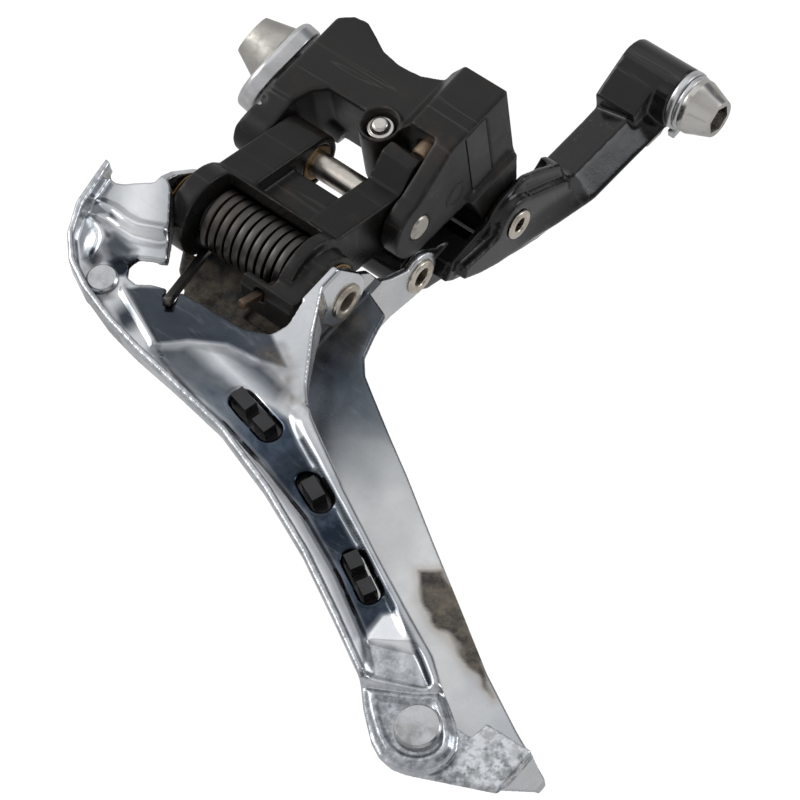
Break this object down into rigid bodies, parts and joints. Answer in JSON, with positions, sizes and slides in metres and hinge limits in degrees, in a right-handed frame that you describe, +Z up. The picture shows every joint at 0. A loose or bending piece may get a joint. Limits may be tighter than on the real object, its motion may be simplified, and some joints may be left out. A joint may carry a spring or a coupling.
{
  "type": "front derailleur",
  "caption": "Braze-on road bicycle front derailleur: sprung link and long outer arm swing a plated two-plate chain cage under a black bracket with limit screws.",
  "frame": {"origin": "centre of the clamp face that sits on the frame's tab, on the mounting bolt's axis", "axes": "+X to the rear of the bicycle, +Y outboard (away from the frame), +Z up"},
  "size_m": [0.1059, 0.0436, 0.1238],
  "materials": {
    "bracket_paint": "satin",
    "link_paint": "satin",
    "arm_paint": "gloss",
    "spring_steel": "satin",
    "pin_steel": "satin",
    "rivet_nickel": "satin",
    "cage_plating": "polished",
    "skid_plastic": "gloss",
    "bolt_chrome": "polished",
    "washer_steel": "satin",
    "screw_steel": "satin",
    "bush_bronze": "satin",
    "lock_resin": "matte",
    "sleeve_resin": "matte"
  },
  "bodies": {
    "bracket": {"bracket_body": "bracket_paint", "main_pivot_pin": "pin_steel", "screw_lock_insert": "lock_resin", "radius_washer": "washer_steel"},
    "mount_bolt": {"mount_bolt": "bolt_chrome"},
    "support_bolt": {"support_bolt": "bolt_chrome"},
    "low_limit_screw": {"low_limit_screw": "screw_steel"},
    "high_limit_screw": {"high_limit_screw": "screw_steel"},
    "link": {"spring_link": "link_paint", "link_bushes": "bush_bronze", "return_spring": "spring_steel", "spring_sleeve": "sleeve_resin"},
    "arm": {"outer_arm": "arm_paint", "arm_pivot_pin": "rivet_nickel", "cable_clamp_plate": "washer_steel", "cable_bolt_washer": "washer_steel", "cable_converter": "pin_steel"},
    "cable_bolt": {"cable_bolt": "bolt_chrome"},
    "cage": {"inner_cage_plate": "cage_plating", "outer_cage_plate": "cage_plating", "tail_rivet": "rivet_nickel", "nose_rivet": "rivet_nickel", "skid_plate": "skid_plastic", "cage_pivot_pin": "rivet_nickel", "arm_cage_pin": "rivet_nickel", "cage_thrust_washers": "bush_bronze"}
  },
  "joints": [
    {"name": "link_swing", "type": "hinge", "parent": "bracket", "child": "link", "pos_m": [0.02, -0.00085, -0.0106], "axis": [1, 0, 0], "range_deg": [0, 38], "stiffness_Nm_per_rad": 0.3, "springref_deg": -40.11},
    {"name": "arm_swing", "type": "hinge", "parent": "bracket", "child": "arm", "pos_m": [0.028, 0.01295, 0.0046], "axis": [1, 0, 0], "range_deg": [0, 38]},
    {"name": "cage_swing", "type": "hinge", "parent": "link", "child": "cage", "pos_m": [0.02, -0.00605, -0.028], "axis": [1, 0, 0], "range_deg": [-38, 0], "deforming": ["return_spring"]},
    {"name": "mount_bolt_turn", "type": "hinge", "parent": "bracket", "child": "mount_bolt", "pos_m": [0, 0, 0], "axis": [-0.9272, -0.3746, 0], "continuous": true},
    {"name": "support_bolt_turn", "type": "hinge", "parent": "bracket", "child": "support_bolt", "pos_m": [0.0194, -0.00085, -0.0032], "axis": [0, -1, 0], "continuous": true},
    {"name": "low_limit_screw_turn", "type": "hinge", "parent": "bracket", "child": "low_limit_screw", "pos_m": [0.0273, -0.00615, 0.0064], "axis": [0, 0, 1], "continuous": true},
    {"name": "high_limit_screw_turn", "type": "hinge", "parent": "bracket", "child": "high_limit_screw", "pos_m": [0.0273, 0.00045, 0.0064], "axis": [0, 0, 1], "continuous": true},
    {"name": "cable_bolt_turn", "type": "hinge", "parent": "arm", "child": "cable_bolt", "pos_m": [0.0404, 0.02005, 0.0396], "axis": [1, 0, 0], "continuous": true}
  ],
  "couplings": [
    {"joint": "arm_swing", "follows": "link_swing", "ratio": 1},
    {"joint": "cage_swing", "follows": "link_swing", "ratio": -1}
  ]
}
